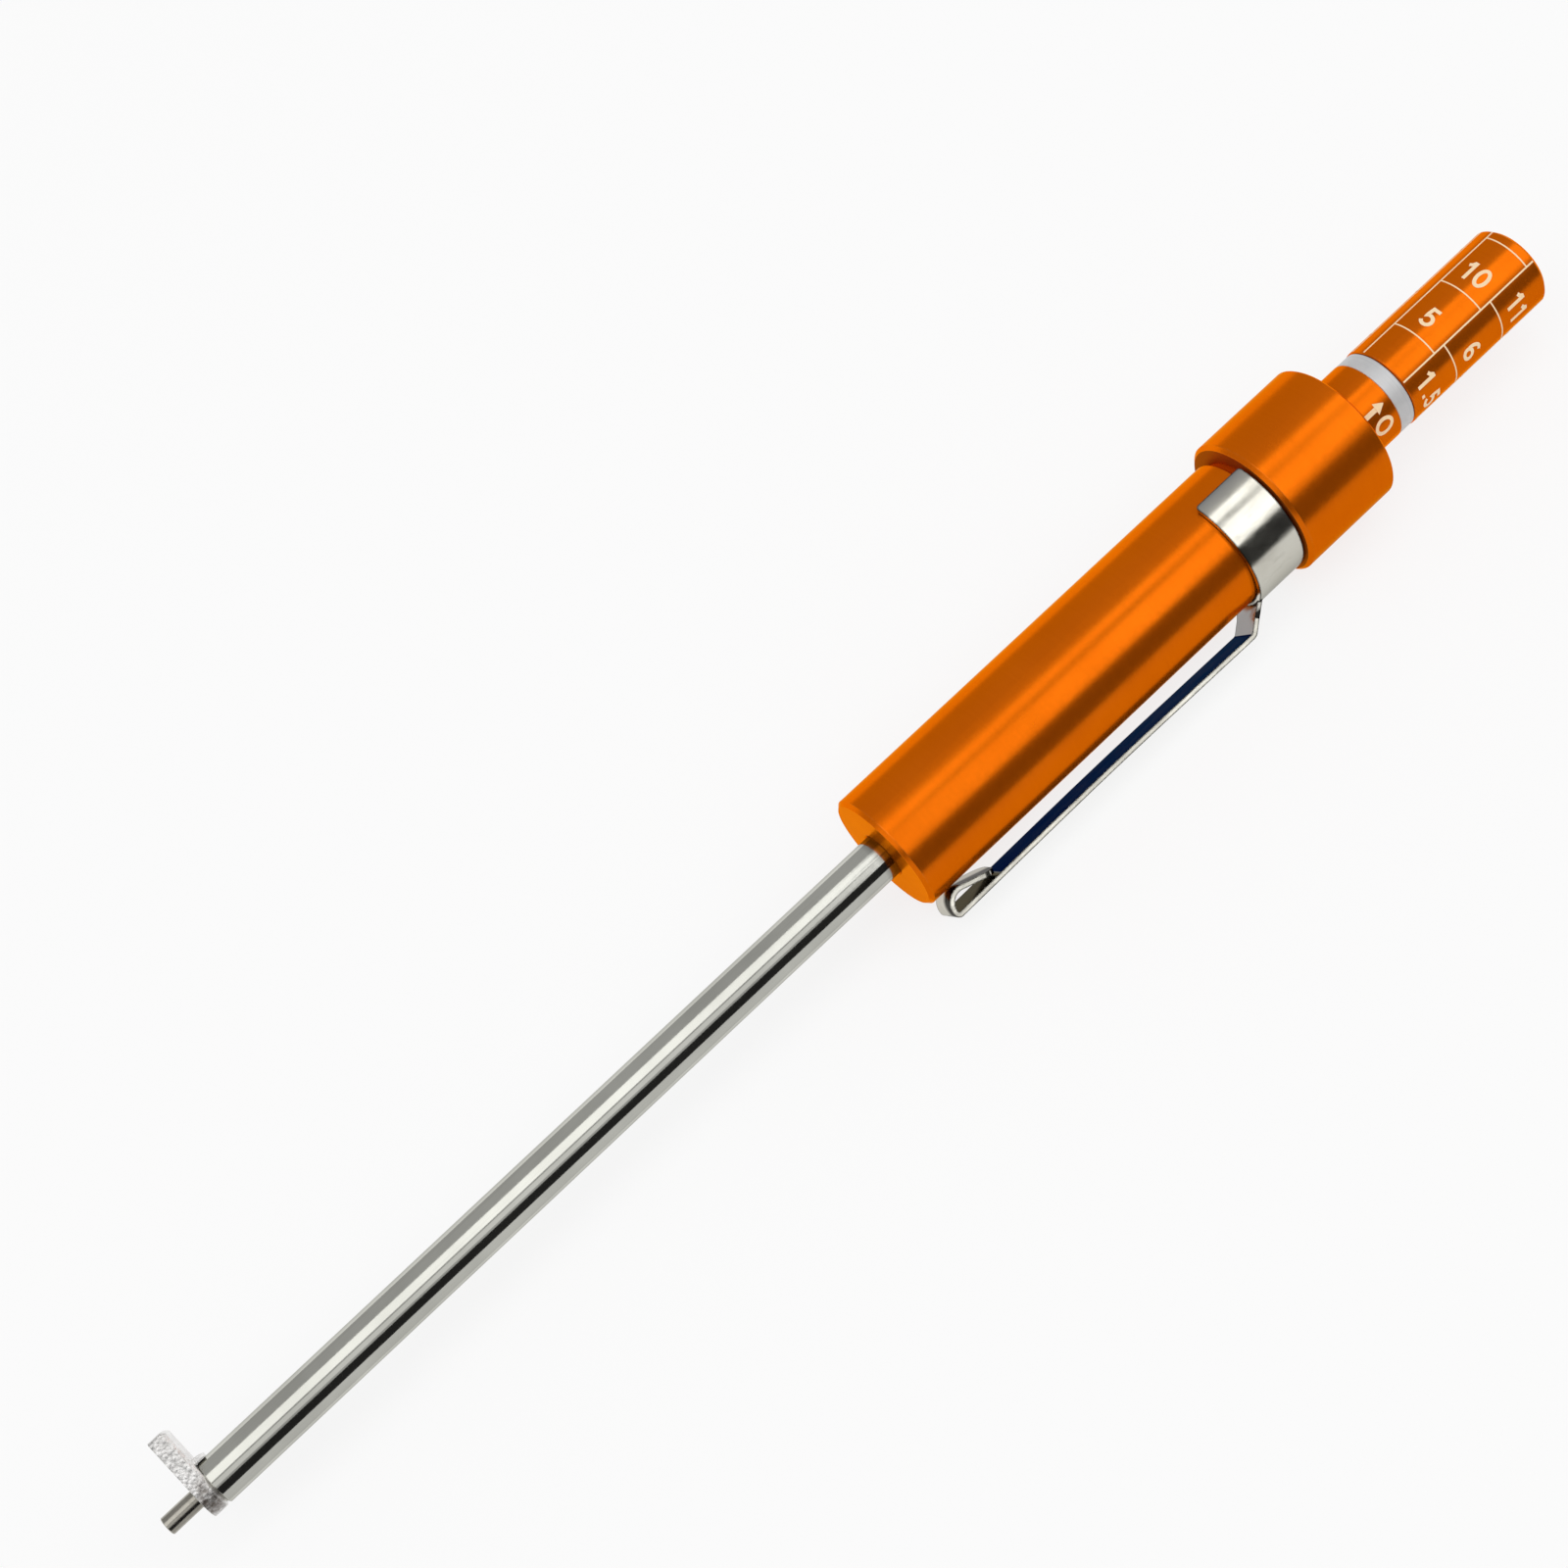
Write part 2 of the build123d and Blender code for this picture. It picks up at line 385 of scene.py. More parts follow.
def ground_steel():
    """The probe tube: bright stainless steel, ground round, with long faint draw marks, and painted
    shade where it enters the barrel.
    """
    light_steel = (0.69, 0.69, 0.635, 1)
    deep_steel = (0.61, 0.61, 0.56, 1)
    drawn_steel = (0.5, 0.49, 0.45, 1)
    # Painted shade: near black for the tube's root at the barrel
    root_painted_shade = (0.07, 0.07, 0.065, 1)
    bare_edge = (0.9, 0.9, 0.88, 1)
    root_shade_start = barrel_front - 1.1 * millimetre
    root_shade_full = barrel_front - 0.3 * millimetre
    material, tree, shader, place = start_material("ground_steel")
    draw_marks = noise(tree, stretched(tree, place, along=40, across=2400), scale=1.0)
    cloud = noise(tree, place, scale=180, detail=4.0)
    grain = noise(tree, place, scale=3000, detail=4.0)
    drawn = spread(tree, draw_marks, 0.5, 0.8, to_high=0.3)
    # Painted shade: darkening over the last millimetre before the barrel
    root_shade_mask = spread(tree, coordinate(tree, place, "X"), root_shade_start, root_shade_full, to_high=0.75)
    patchy = spread(tree, cloud, 0.3, 0.6, to_low=0.6)
    colour = blend_colours(tree, spread(tree, cloud, *narrow_noise), light_steel, deep_steel)
    colour = blend_colours(tree, drawn, colour, drawn_steel)
    colour = blend_colours(tree, multiply(tree, root_shade_mask, patchy), colour, root_painted_shade)
    colour = wear_edges(tree, colour, grain, bare_edge, radius=0.08 * millimetre, amount=0.6)
    link(tree, colour, shader, "Base Color")
    set_gloss(tree, shader, grain, smooth=0.06, rough=0.12)
    shader.inputs["Metallic"].default_value = 1.0
    shader.inputs["Specular Tint"].default_value = (0.62, 0.62, 0.6, 1)
    height = plus(tree, draw_marks, multiply(tree, grain, 0.4))
    bump_surface(tree, shader, height, strength=0.12, distance=0.006 * millimetre,
                 rounding=0.05 * millimetre)
    return material


def nickel_spring_steel():
    """The clip: nickel-plated strip with painted dark shade on its edges, dull inside, a painted
    dark blue reflection along the arm's inside, painted shade inside the curl, and a painted
    dark reflection on one side of the curl."""
    light_nickel = (0.86, 0.84, 0.75, 1)
    deep_nickel = (0.78, 0.75, 0.66, 1)
    scuffed_nickel = (0.5, 0.47, 0.41, 1)
    dull_grey = (0.4, 0.4, 0.4, 1)
    # Painted shade: a dark brown for the hollow inside the curl
    curl_painted_shade = (0.13, 0.12, 0.1, 1)
    # Painted reflection: a dark blue for the arm's inner face, which faces the barrel
    blue_reflection_paint = (0.004, 0.03, 0.07, 1)
    # Painted reflection: near black for one side of the curl's outside
    dark_reflection_paint = (0.02, 0.02, 0.022, 1)
    # Painted shade: near black along the clip's edges
    edge_painted_shade = (0.02, 0.018, 0.015, 1)
    material, tree, shader, place = start_material("nickel_spring_steel")
    long_marks = stretched(tree, place, along=500, across=1500)
    scuffs = noise(tree, long_marks, scale=1.0, detail=5.0, roughness=0.65)
    cloud = noise(tree, place, scale=260, detail=4.0)
    waves = noise(tree, place, scale=420, detail=1.0)
    scuffed = spread(tree, scuffs, 0.55, 0.8, to_high=0.35)
    blue_reflection_mask, dull, curl_shade_mask, reflection_side = clip_masks(tree, place)
    uneven_dark_reflection = spread(tree, scuffs, *wide_noise, to_low=0.8, to_high=0.97)
    dark_reflection_mask = multiply(tree, reflection_side, uneven_dark_reflection)
    broken = spread(tree, scuffs, 0.2, 0.8, to_low=0.56, to_high=0.66)
    # Painted shade: dark outlines along the clip's cut edges
    edge_shade_mask = edge_mask(tree, broken, radius=0.21 * millimetre, faint=0.985, full=0.93)
    colour = blend_colours(tree, spread(tree, cloud, *wide_noise), light_nickel, deep_nickel)
    colour = blend_colours(tree, scuffed, colour, scuffed_nickel)
    colour = blend_colours(tree, dull, colour, dull_grey)
    colour = blend_colours(tree, curl_shade_mask, colour, curl_painted_shade)
    colour = blend_colours(tree, blue_reflection_mask, colour, blue_reflection_paint)
    colour = blend_colours(tree, dark_reflection_mask, colour, dark_reflection_paint)
    colour = blend_colours(tree, edge_shade_mask, colour, edge_painted_shade)
    link(tree, colour, shader, "Base Color")
    link(tree, clip_tint(tree, blue_reflection_mask, curl_shade_mask, dark_reflection_mask, edge_shade_mask), shader, "Specular Tint")
    duller_band = spread(tree, coordinate(tree, place, "X"), *band_fade, to_high=0.04)
    uneven = spread(tree, scuffs, 0.3, 0.75, to_low=0.07, to_high=0.22)
    link(tree, plus(tree, uneven, duller_band), shader, "Roughness")
    shader.inputs["Metallic"].default_value = 1.0
    height = plus(tree, scuffs, multiply(tree, waves, 6.0))
    bump_surface(tree, shader, height, strength=0.2, distance=0.007 * millimetre,
                 rounding=0.09 * millimetre)
    return material


def clip_tint(tree, blue_reflection_mask, curl_shade_mask, dark_reflection_mask, edge_shade_mask):
    """How bright the clip is at a grazing angle: its painted shade and painted reflections stay
    dark there.
    """
    plain_tint = (0.6, 0.6, 0.58, 1)
    blue_reflection_tint = (0.285, 0.3, 0.34, 1)
    curl_shade_tint = (0.38, 0.37, 0.33, 1)
    dark_tint = (0.3, 0.3, 0.3, 1)
    tint = blend_colours(tree, blue_reflection_mask, plain_tint, blue_reflection_tint)
    tint = blend_colours(tree, curl_shade_mask, tint, curl_shade_tint)
    tint = blend_colours(tree, dark_reflection_mask, tint, dark_tint)
    return blend_colours(tree, edge_shade_mask, tint, dark_tint)


def clip_masks(tree, place):
    """Where the clip gets a painted dark blue reflection along the arm, is dull on the step, gets
    painted shade inside the curl, and gets a painted dark reflection on the curl's outside."""
    inner = 0.03 * millimetre
    outer = 0.15 * millimetre
    facing = add(tree, "TexCoord").outputs["Normal"]
    toward_axis = dot(tree, facing, clip_inward)
    past_curl = spread(tree, coordinate(tree, place, "X"), *curl_fade)
    on_curl = calculate(tree, "SUBTRACT", 1.0, past_curl)
    on_arm = calculate(tree, "GREATER_THAN", dot(tree, place, -clip_inward), arm_depth)
    # Painted reflection: dark blue on the arm's faces that turn to the axis
    blue_reflection_mask = multiply(tree, spread(tree, toward_axis, 0.93, 0.98), on_arm)
    blue_reflection_mask = multiply(tree, blue_reflection_mask, past_curl)
    dull = multiply(tree, spread(tree, toward_axis, 0.5, 0.7), past_curl)
    to_middle = add(tree, "VectorMath", {0: curl_middle, 1: place}, operation="SUBTRACT")
    inside = dot(tree, facing, to_middle.outputs["Vector"])
    # Painted shade inside the curl's hollow
    curl_shade_mask = multiply(tree, spread(tree, inside, inner, outer), on_curl)
    # Painted reflection: dark on one side of the curl's outside
    reflection_side = multiply(tree, one_side(tree, place, facing, toward_axis),
                      spread(tree, inside, -inner, -outer))
    reflection_side = multiply(tree, reflection_side, spread(tree, toward_axis, -0.6, -0.2))
    reflection_side = multiply(tree, reflection_side, on_curl)
    return blue_reflection_mask, dull, curl_shade_mask, reflection_side


def one_side(tree, place, facing, toward_axis):
    """1 on one side of the strip but not on its cut edge, and wider where it faces the axis."""
    across = dot(tree, place, clip_sideways)
    turned = calculate(tree, "ABSOLUTE", dot(tree, facing, clip_sideways))
    widening = multiply(tree, toward_axis, 0.5 * arm_half_width)
    from_side = calculate(tree, "SUBTRACT", widening, across)
    near_side = spread(tree, from_side, 0.3 * arm_half_width, 0.75 * arm_half_width)
    return multiply(tree, near_side, spread(tree, turned, 0.7, 0.4))


def sintered_steel():
    """The foot: pressed and sintered steel, grainy and dark at the hub, smoother at its rear."""
    light_steel = (0.95, 0.94, 0.93, 1)
    deep_steel = (0.74, 0.72, 0.7, 1)
    pore_grey = (0.27, 0.27, 0.26, 1)
    # A dark brown for patches on the hub
    hub_dark_brown = (0.13, 0.1, 0.08, 1)
    bare_edge = (0.85, 0.84, 0.8, 1)
    material, tree, shader, place = start_material("sintered_steel")
    cloud = noise(tree, place, scale=700, detail=5.0, roughness=0.7)
    grain = noise(tree, place, scale=4200, detail=5.0, roughness=0.7)
    cells = add(tree, "TexVoronoi", {"Vector": place, "Scale": 3600.0}, feature="F1")
    cells = cells.outputs["Distance"]
    rough_face = spread(tree, coordinate(tree, place, "X"), *foot_rim, to_low=0.15)
    pores = spread(tree, plus(tree, cells, multiply(tree, grain, 0.5)), 0.75, 0.95)
    pores = multiply(tree, multiply(tree, pores, rough_face), 0.4)
    on_hub = multiply(tree, spread(tree, axis_distance(tree, place), *hub_edge), rough_face)
    patchy = spread(tree, cloud, 0.4, 0.6, to_low=0.1, to_high=0.85)
    # The hub is darkened in patches
    hub_darkening = multiply(tree, on_hub, patchy)
    colour = blend_colours(tree, spread(tree, cloud, *narrow_noise), light_steel, deep_steel)
    colour = blend_colours(tree, pores, colour, pore_grey)
    colour = blend_colours(tree, hub_darkening, colour, hub_dark_brown)
    colour = wear_edges(tree, colour, grain, bare_edge, radius=0.15 * millimetre, amount=0.7)
    link(tree, colour, shader, "Base Color")
    set_gloss(tree, shader, grain, smooth=0.22, rough=0.36)
    shader.inputs["Metallic"].default_value = 0.85
    height = calculate(tree, "SUBTRACT", multiply(tree, grain, 0.8), cells)
    height = multiply(tree, height, rough_face)
    bump_surface(tree, shader, height, strength=0.6, distance=0.1 * millimetre,
                 rounding=0.12 * millimetre)
    return material


def moulded_black():
    """The hidden spring seat: hard black plastic with a fine moulded grain."""
    deep_black = (0.03, 0.03, 0.032, 1)
    light_black = (0.06, 0.06, 0.062, 1)
    material, tree, shader, place = start_material("moulded_black")
    grain = noise(tree, place, scale=3000, detail=4.0)
    colour = blend_colours(tree, spread(tree, grain, *narrow_noise), deep_black, light_black)
    link(tree, colour, shader, "Base Color")
    set_gloss(tree, shader, grain, smooth=0.4, rough=0.6)
    bump_surface(tree, shader, grain, strength=0.3, distance=0.01 * millimetre,
                 rounding=0.1 * millimetre)
    return material


def marking_paint():
    """The scale's marks: pale cream where the dye is burnt away, slightly uneven."""
    light_cream = (1.0, 0.78, 0.5, 1)
    deep_cream = (1.0, 0.74, 0.45, 1)
    orange_speck = (0.88, 0.56, 0.3, 1)
    material, tree, shader, place = start_material("marking_cream")
    grain = noise(tree, place, scale=5200, detail=4.0)
    cloud = noise(tree, place, scale=900)
    specks = spread(tree, grain, 0.5, 0.8, to_high=0.35)
    colour = blend_colours(tree, spread(tree, cloud, *narrow_noise), light_cream, deep_cream)
    colour = blend_colours(tree, specks, colour, orange_speck)
    link(tree, colour, shader, "Base Color")
    set_gloss(tree, shader, grain, smooth=0.5, rough=0.7)
    bump_surface(tree, shader, grain, strength=0.3, distance=0.008 * millimetre)
    return material


def wound_steel():
    """The return spring's wire."""
    return bright_metal("spring_steel", light=(0.5, 0.49, 0.47, 1), dark=(0.36, 0.35, 0.33, 1),
                        smooth=0.2, rough=0.34, lines=0.1)


def satin_aluminium():
    """The limit ring: finely turned and matt."""
    satin = bright_metal("satin_aluminium", light=(0.74, 0.74, 0.74, 1),
                         dark=(0.58, 0.59, 0.6, 1), smooth=0.42, rough=0.54, lines=0.6,
                         ring_spacing=0.13 * millimetre)
    satin.node_tree.nodes["Principled BSDF"].inputs["Metallic"].default_value = 0.35
    return satin


def set_materials(spring_steel):
    """Gives every CAD piece its material."""
    orange = anodised_orange()
    satin = satin_aluminium()
    pin_steel = bright_metal("pin_steel", light=(0.46, 0.44, 0.39, 1), dark=(0.3, 0.28, 0.24, 1),
                             smooth=0.14, rough=0.24, lines=0.3)
    turned_steel = bright_metal("turned_steel", light=(0.58, 0.57, 0.55, 1),
                                dark=(0.44, 0.43, 0.41, 1), smooth=0.22, rough=0.34, lines=0.5)
    black_screw = bright_metal("black_oxide", light=(0.06, 0.06, 0.065, 1),
                               dark=(0.03, 0.03, 0.032, 1), smooth=0.3, rough=0.45, lines=0.2,
                               edge=(0.3, 0.29, 0.27, 1))
    choice = {
        "measuring_foot": sintered_steel(),
        "probe_tube": ground_steel(),
        "tube_ferrule": turned_steel,
        "probe_pin": pin_steel,
        "barrel": orange,
        "rear_collar": orange,
        "stop_washer": turned_steel,
        "return_spring": spring_steel,
        "spring_seat": moulded_black(),
        "zero_stem": orange,
        "pin_lock_screw": black_screw,
        "limit_ring": satin,
        "scale_drum": orange,
        "pocket_clip": nickel_spring_steel(),
    }
    for name, material in choice.items():
        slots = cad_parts[name].material_slots
        for index in range(len(slots)):
            slots[index].material = material


# Pieces

def place_object(name, data):
    """A new object in the scene."""
    placed = bpy.data.objects.new(name, data)
    bpy.context.scene.collection.objects.link(placed)
    return placed


def finish_piece(mesh, name, body, material):
    """Turns the mesh into a piece that rides on a CAD body."""
    bmesh.ops.recalc_face_normals(mesh, faces=mesh.faces)
    data = bpy.data.meshes.new(name)
    mesh.to_mesh(data)
    mesh.free()
    piece = place_object(name, data)
    data.materials.append(material)
    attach(piece, body)
    return piece


def join_rings(mesh, rings):
    """Closes a row of rings of points into a tube with two ends."""
    sides = len(rings[0])
    for ring, following in zip(rings, rings[1:]):
        for side in range(sides):
            follower = (side + 1) % sides
            corners = (ring[side], ring[follower], following[follower], following[side])
            mesh.faces.new(corners)
    mesh.faces.new(rings[0])
    mesh.faces.new(rings[-1][::-1])


# Marks on the drum and the stem

def arc(centre, radii, start, end, step=12):
    """Points of an ellipse's arc, angles in degrees, anticlockwise from the right."""
    count = max(2, ceil(abs(end - start) / step))
    angles = [radians(start + (end - start) * index / count) for index in range(count + 1)]
    return [(centre[0] + radii[0] * cos(a), centre[1] + radii[1] * sin(a)) for a in angles]


def digit_strokes(digit):
    """The middle lines of a digit, one unit high and about 0.6 wide."""
    if digit == "0":
        return [arc((0.31, 0.5), (0.235, 0.425), 0, 360)]
    if digit == "1":
        return [[(0.07, 0.735), (0.2, 0.8), (0.31, 0.96)], [(0.345, 0), (0.345, 1)]]
    if digit == "2":
        return [arc((0.31, 0.69), (0.225, 0.235), 170, -35) + [(0.11, 0.08), (0.57, 0.08)]]
    if digit == "3":
        upper = arc((0.29, 0.71), (0.2, 0.215), 160, -80)
        lower = arc((0.29, 0.29), (0.24, 0.215), 80, -160)
        return [upper, lower]
    if digit == "4":
        return [[(0.43, 0), (0.43, 0.93), (0.07, 0.29), (0.6, 0.29)]]
    if digit == "5":
        bowl = arc((0.29, 0.33), (0.245, 0.25), 125, -155)
        return [[(0.54, 0.925), (0.19, 0.925), (0.13, 0.51)] + bowl]
    if digit == "6":
        back = arc((0.36, 0.48), (0.28, 0.44), 62, 190)
        return [back, arc((0.31, 0.3), (0.225, 0.225), 0, 360)]
    if digit == "7":
        return [[(0.06, 0.925), (0.56, 0.925)] + arc((0.95, 0), (0.7, 0.8), 122, 180)]
    if digit == "8":
        upper = arc((0.31, 0.73), (0.19, 0.195), 0, 360)
        lower = arc((0.31, 0.3), (0.235, 0.225), 0, 360)
        return [upper, lower]
    if digit == "9":
        back = arc((0.26, 0.52), (0.28, 0.44), 242, 370)
        return [back, arc((0.31, 0.7), (0.225, 0.225), 0, 360)]
    return [[(0.2, 0), (0.2, 0.15)]]


def refined(points, step):
    """The same line with a point at least every step."""
    result = [points[0]]
    for before, after in zip(points, points[1:]):
        across = after[0] - before[0]
        up = after[1] - before[1]
        count = max(1, ceil(hypot(across, up) / step))
        for index in range(1, count + 1):
            part = index / count
            result.append((before[0] + across * part, before[1] + up * part))
    return result


def ribbon_sides(points, width):
    """The two edges of a flat ribbon along a line, mitred at its corners."""
    shortest = 1e-9
    left = []
    right = []
    for index, point in enumerate(points):
        before = points[max(index - 1, 0)]
        after = points[min(index + 1, len(points) - 1)]
        if index in (0, len(points) - 1) and points[0] == points[-1]:
            before = points[-2]
            after = points[1]
        first = Vector((point[0] - before[0], point[1] - before[1]))
        second = Vector((after[0] - point[0], after[1] - point[1]))
        first = first.normalized() if first.length > shortest else second.normalized()
        second = second.normalized() if second.length > shortest else first
        middle = (first + second).normalized()
        reach = width / 2 / max(middle.dot(first), sharpest_mitre)
        left.append((point[0] - middle.y * reach, point[1] + middle.x * reach))
        right.append((point[0] + middle.y * reach, point[1] - middle.x * reach))
    return left, right


def on_cylinder(point, origin, angle, radius):
    """A flat point wrapped round the axis: across goes round from the angle, up goes along it."""
    turned = angle + point[0] / radius
    return Vector((origin + point[1], radius * cos(turned), radius * sin(turned)))


def wrap_outline(mesh, left, right, origin, angle, radius):
    """A raised band between two edges on a cylinder, sunk slightly into its surface."""
    low = radius - mark_height
    high = radius + mark_height
    rings = []
    for first, second in zip(left, right):
        corners = ((second, low), (second, high), (first, high), (first, low))
        ring = [mesh.verts.new(on_cylinder(point, origin, angle, level))
                for point, level in corners]
        rings.append(ring)
    join_rings(mesh, rings)


def wrap_line(mesh, points, width, origin, angle, radius):
    """A raised line of constant width on a cylinder."""
    left, right = ribbon_sides(refined(points, line_step), width)
    wrap_outline(mesh, left, right, origin, angle, radius)


def write_label(mesh, text, origin, angle, radius, stretch=1.0):
    """Digits centred on an angle, with their feet at the origin."""
    widths = [point_pitch if character == "." else digit_pitch for character in text]
    across = -sum(widths) / 2
    for character, width in zip(text, widths):
        for stroke in digit_strokes(character):
            scaled = [((across + x) * digit_height * stretch, y * digit_height)
                      for x, y in stroke]
            wrap_line(mesh, scaled, digit_stroke * digit_height, origin, angle, radius)
        across += width


def printed_height(reading):
    """Where a reading's line lies along the axis."""
    return zero_line + reading * millimetre + print_offset


def scale_lines(material):
    """The frame lines along the drum, and the millimetre lines that step round it."""
    mesh = bmesh.new()
    start = drum_low.x + frame_start
    end = drum_high.x - frame_end
    for column in range(column_count + 1):
        angle = scale_start + column * column_angle
        wrap_line(mesh, [(0, start), (0, end)], axial_line_width, 0, angle, drum_radius)
    across = column_angle * drum_radius
    for reading in range(first_line, scale_length + 1):
        angle = scale_start + (reading % column_count) * column_angle
        height = printed_height(reading)
        wrap_line(mesh, [(0, height), (across, height)], line_width, 0, angle, drum_radius)
    finish_piece(mesh, "scale_lines", "plunger", material)


def scale_numbers(material):
    """The readings, each above its own line."""
    mesh = bmesh.new()
    for reading in [first_mark] + list(range(first_line, last_label + 1)):
        column = int(reading) % column_count
        shift = second_label_shift if column == 1 else label_shift
        angle = scale_start + (column + 0.5) * column_angle + shift / drum_radius
        height = printed_height(reading) + label_lift
        write_label(mesh, str(reading), height, angle, drum_radius)
    finish_piece(mesh, "scale_numbers", "plunger", material)


def zero_marks(material):
    """The arrow and the nought on the stem."""
    mesh = bmesh.new()
    tip = zero_line - arrow_tip
    neck = tip - head_length
    shaft_start = tip - 1.02 * head_length
    blunt_corner = 0.01 * head_length
    base = refined([(-head_half_width, neck), (head_half_width, neck)], arrow_step)
    slope = [(across, tip - head_length * (abs(across) / head_half_width) + blunt_corner)
             for across, height in base]
    wrap_outline(mesh, slope, base, 0, arrow_angle, stem_radius)
    shaft = [(0, shaft_start), (0, tip - arrow_length)]
    wrap_line(mesh, shaft, shaft_width, 0, arrow_angle, stem_radius)
    write_label(mesh, "0", tip - digit_height, zero_angle, stem_radius, zero_stretch)
    finish_piece(mesh, "zero_marks", "plunger", material)


# Spring

def coil_spring(material):
    """The return spring in round wire. It stands for the CAD coil, which it hides."""
    mesh = bmesh.new()
    space = spring_high.x - spring_low.x
    length = space - 2 * wire_radius
    climb = length / (2 * pi * coil_turns * coil_radius)
    steps = coil_turns * steps_per_turn
    rings = []
    for step in range(steps + 1):
        angle = 2 * pi * step / steps_per_turn
        outward = Vector((0, sin(angle), -cos(angle)))
        forward = Vector((climb, cos(angle), sin(angle))).normalized()
        along = spring_low.x + wire_radius + length * step / steps
        middle = Vector((along, 0, 0)) + outward * coil_radius
        rings.append(wire_ring(mesh, middle, outward, forward.cross(outward)))
    join_rings(mesh, rings)
    for face in mesh.faces:
        face.smooth = len(face.verts) == 4
    piece = finish_piece(mesh, "spring_coil", "handle", material)
    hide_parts("return_spring")
    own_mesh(piece)


def wire_ring(mesh, middle, outward, sideways):
    """The points round the wire at one place along it."""
    turns = [2 * pi * side / wire_sides for side in range(wire_sides)]
    return [mesh.verts.new(middle + (outward * cos(turn) + sideways * sin(turn)) * wire_radius)
            for turn in turns]


# Studio

def place_camera():
    """The camera on its orbit round the aim point, then rolled about its own line of sight."""
    level = Vector((cos(camera_bearing), sin(camera_bearing), 0)) * cos(camera_elevation)
    outward = level + Vector((0, 0, sin(camera_elevation)))
    facing = (-outward).to_track_quat("-Z", "Y")
    data = bpy.data.cameras.new("camera")
    data.lens = camera_lens
    data.sensor_width = sensor_width
    data.clip_start = camera_near_limit
    camera = place_object("camera", data)
    camera.location = camera_aim + outward * camera_distance
    camera.rotation_mode = "QUATERNION"
    camera.rotation_quaternion = facing @ Quaternion((0, 0, 1), camera_roll)
    bpy.context.scene.camera = camera


def seen_directly(tree):
    """1 for camera, glossy and transmitted rays, and 0 for the rays that light the object."""
    rays = add(tree, "LightPath")
    total = plus(tree, rays.outputs["Is Camera Ray"], rays.outputs["Is Glossy Ray"])
    total = plus(tree, total, rays.outputs["Is Transmission Ray"])
    return calculate(tree, "MINIMUM", total, 1.0)


def light_world():
    """A white surround that lights the object at a plain level."""
    world = bpy.data.worlds.new("white_surround")
    bpy.context.scene.world = world
    tree = empty_tree(world)
    strength = spread(tree, seen_directly(tree), 0, 1, to_low=world_light)
    shade = add(tree, "Background", {"Color": white, "Strength": strength})
    add(tree, "OutputWorld", {"Surface": shade.outputs["Background"]})


def lay_floor():
    """A pale floor under the collar. It glows white for the eye and keeps part of the shadow."""
    level = cad_low.z - floor_gap
    sides = ((-1, -1), (1, -1), (1, 1), (-1, 1))
    corners = [(across * floor_half, up * floor_half, level) for across, up in sides]
    data = bpy.data.meshes.new("floor")
    data.from_pydata(corners, [], [(0, 1, 2, 3)])
    floor = place_object("floor", data)
    data.materials.append(pale_floor())


def pale_floor():
    """Pale, faintly clouded, and partly white of its own for the eye."""
    light_grey = (0.92, 0.92, 0.92, 1)
    deep_grey = (0.88, 0.88, 0.88, 1)
    material = bpy.data.materials.new("pale_floor")
    tree = empty_tree(material)
    cloud = noise(tree, add(tree, "TexCoord").outputs["Object"], scale=6)
    colour = blend_colours(tree, cloud, light_grey, deep_grey)
    matt = add(tree, "BsdfDiffuse", {"Color": colour}).outputs["BSDF"]
    glow = add(tree, "Emission", {"Color": white, "Strength": 1.0}).outputs["Emission"]
    share = multiply(tree, seen_directly(tree), floor_share)
    mixed = add(tree, "MixShader", {0: share, 1: matt, 2: glow})
    add(tree, "OutputMaterial", {"Surface": mixed.outputs["Shader"]})
    return material


def round_the_axis(first, last, distance):
    """Places on an arc round the gauge's axis, from one angle to another in degrees."""
    rows = 8
    angles = [radians(first + (last - first) * index / rows) for index in range(rows + 1)]
    return [(distance * cos(angle), distance * sin(angle)) for angle in angles]


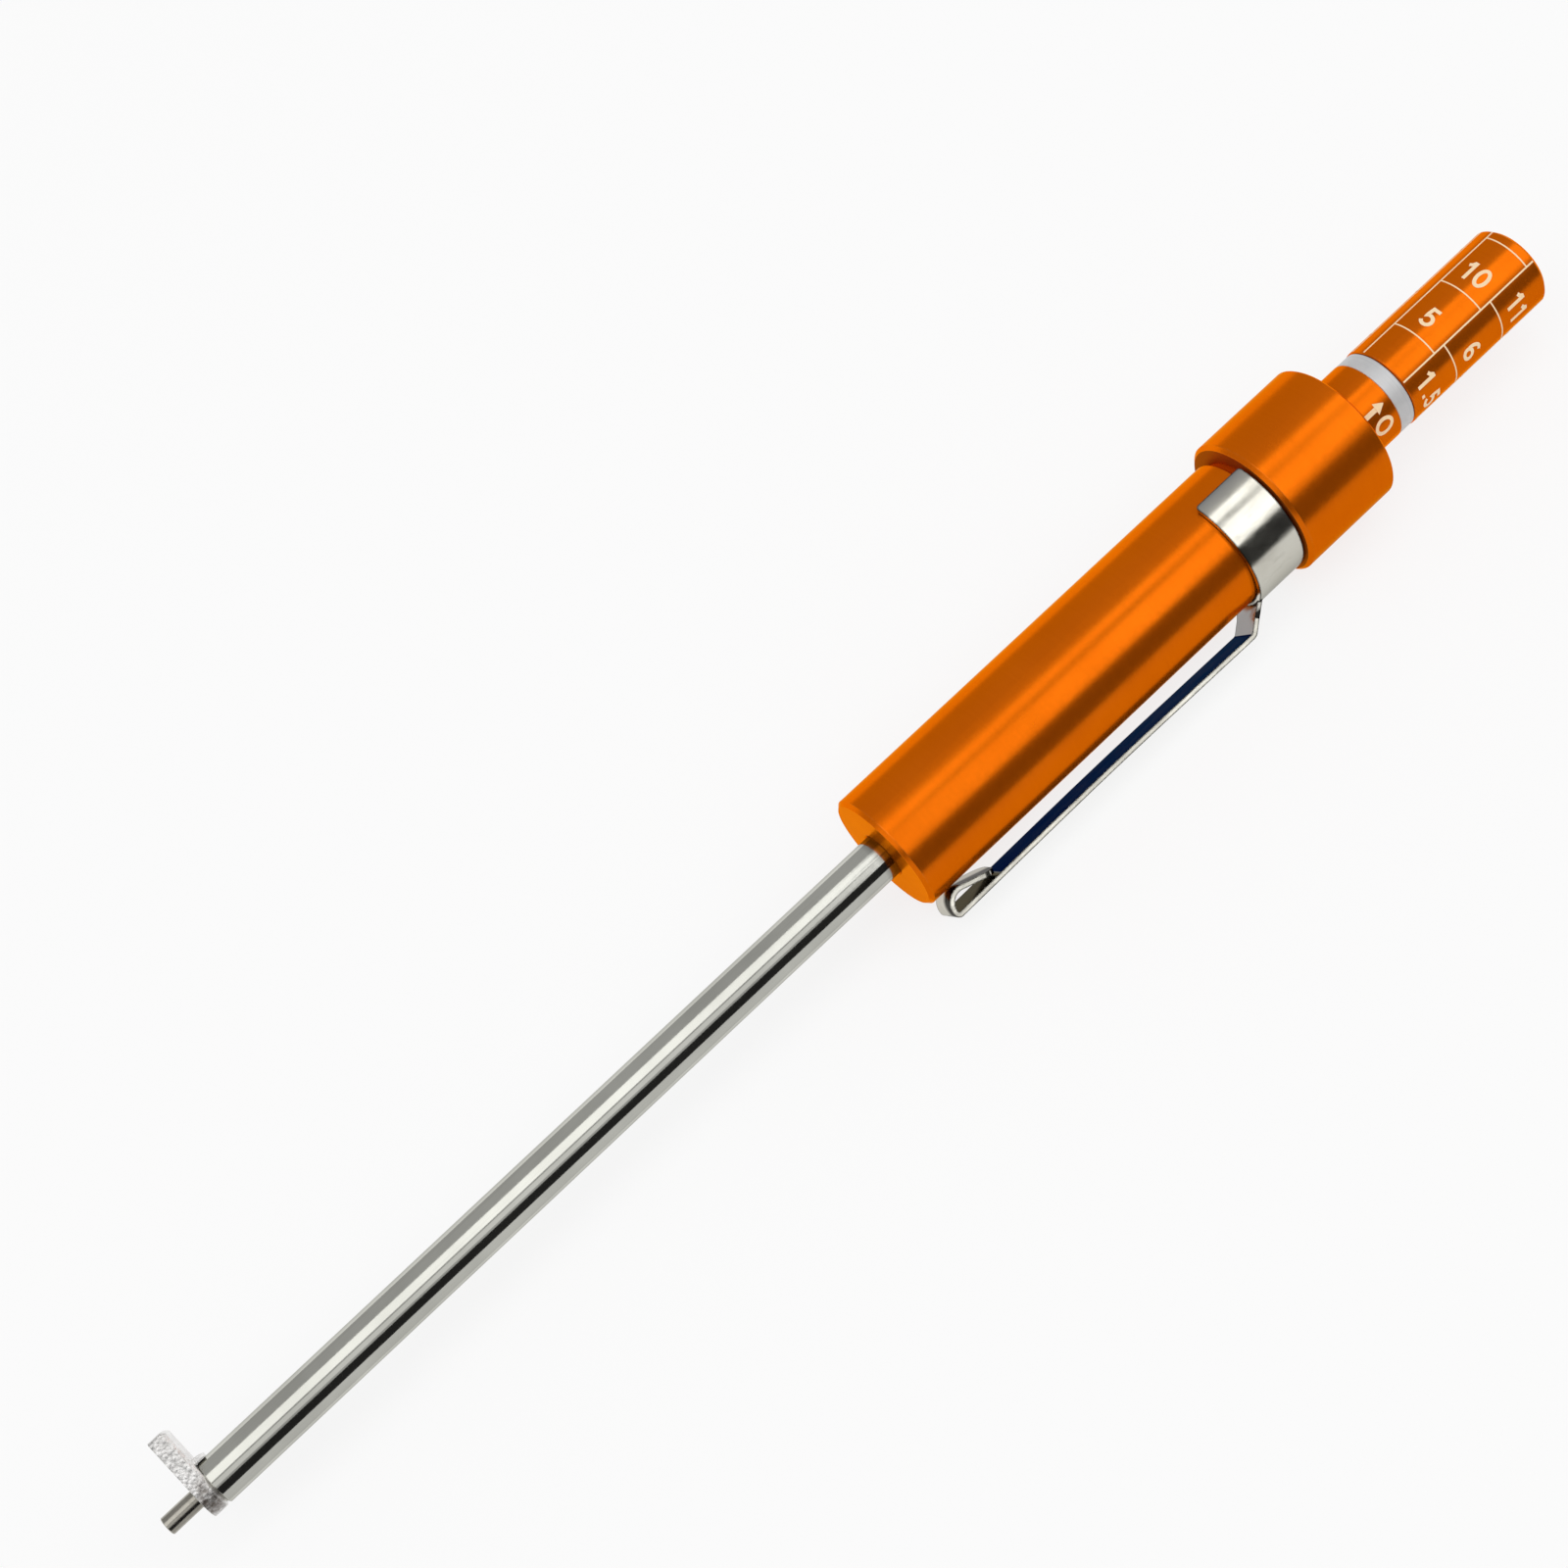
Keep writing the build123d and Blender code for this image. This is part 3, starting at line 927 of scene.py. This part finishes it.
def hang_card(name, bend, level):
    """A long glowing card beside the gauge, bent through places across the axis.

    It shows only in reflections."""
    points = []
    for across, height in bend:
        points += [(-card_reach, across, height), (card_reach, across, height)]
    starts = range(0, 2 * len(bend) - 2, 2)
    faces = [(start, start + 1, start + 3, start + 2) for start in starts]
    data = bpy.data.meshes.new(name)
    data.from_pydata(points, [], faces)
    card = place_object(name, data)
    material = bpy.data.materials.new(name)
    tree = empty_tree(material)
    glow = add(tree, "Emission", {"Color": white, "Strength": level})
    add(tree, "OutputMaterial", {"Surface": glow.outputs["Emission"]})
    data.materials.append(material)
    card.visible_camera = False
    card.visible_diffuse = False
    card.visible_shadow = False
    card.visible_transmission = False


def hang_softbox(name, stretch, first, last, radiance):
    """A soft lamp over one stretch of the gauge, between two angles round the axis."""
    middle = radians((first + last) / 2)
    half_angle = radians((last - first) / 2)
    lamp = bpy.data.lights.new(name, "AREA")
    lamp.shape = "RECTANGLE"
    lamp.size = stretch[1] - stretch[0]
    lamp.size_y = 2 * lamp_distance * tan(half_angle)
    lamp.energy = radiance * pi * lamp.size * lamp.size_y
    softbox = place_object(name, lamp)
    across = (stretch[0] + stretch[1]) / 2
    softbox.location = (across, lamp_distance * cos(middle), lamp_distance * sin(middle))
    softbox.rotation_euler = (middle - pi / 2, 0, 0)


def hang_cards():
    """The cards that the polished pieces reflect between the lamps."""
    table = cad_low.z
    ceiling = round_the_axis(ceiling_first, ceiling_last, ceiling_distance)
    flag = round_the_axis(ceiling_last, flag_last, -flag_place) + [(flag_place, table)]
    hang_card("grey_ceiling", ceiling, level=0.42)
    hang_card("black_flag", flag, level=0.02)
    hang_card("black_apron", [(flag_place, table), (apron_change, table)], level=0.02)
    hang_card("grey_apron", [(apron_change, table), (apron_end, table)], level=0.66)


def hang_lamps():
    """The soft lamps, each as wide as its highlight. Angles are in degrees."""
    hang_softbox("softbox_probe_rear", over_probe, first=74, last=111, radiance=0.9)
    hang_softbox("softbox_probe_front", over_probe, first=118, last=139, radiance=0.35)
    hang_softbox("softbox_handle_rear", over_handle, first=83, last=98, radiance=0.85)
    hang_softbox("softbox_handle_front", over_handle, first=108, last=147, radiance=0.95)
    hang_softbox("softbox_drum", over_drum, first=84, last=137, radiance=0.92)


bpy.context.scene.view_settings.view_transform = "Standard"
place_camera()
light_world()
lay_floor()
hang_cards()
hang_lamps()
spring_steel = wound_steel()
set_materials(spring_steel)
coil_spring(spring_steel)
cream = marking_paint()
scale_lines(cream)
scale_numbers(cream)
zero_marks(cream)
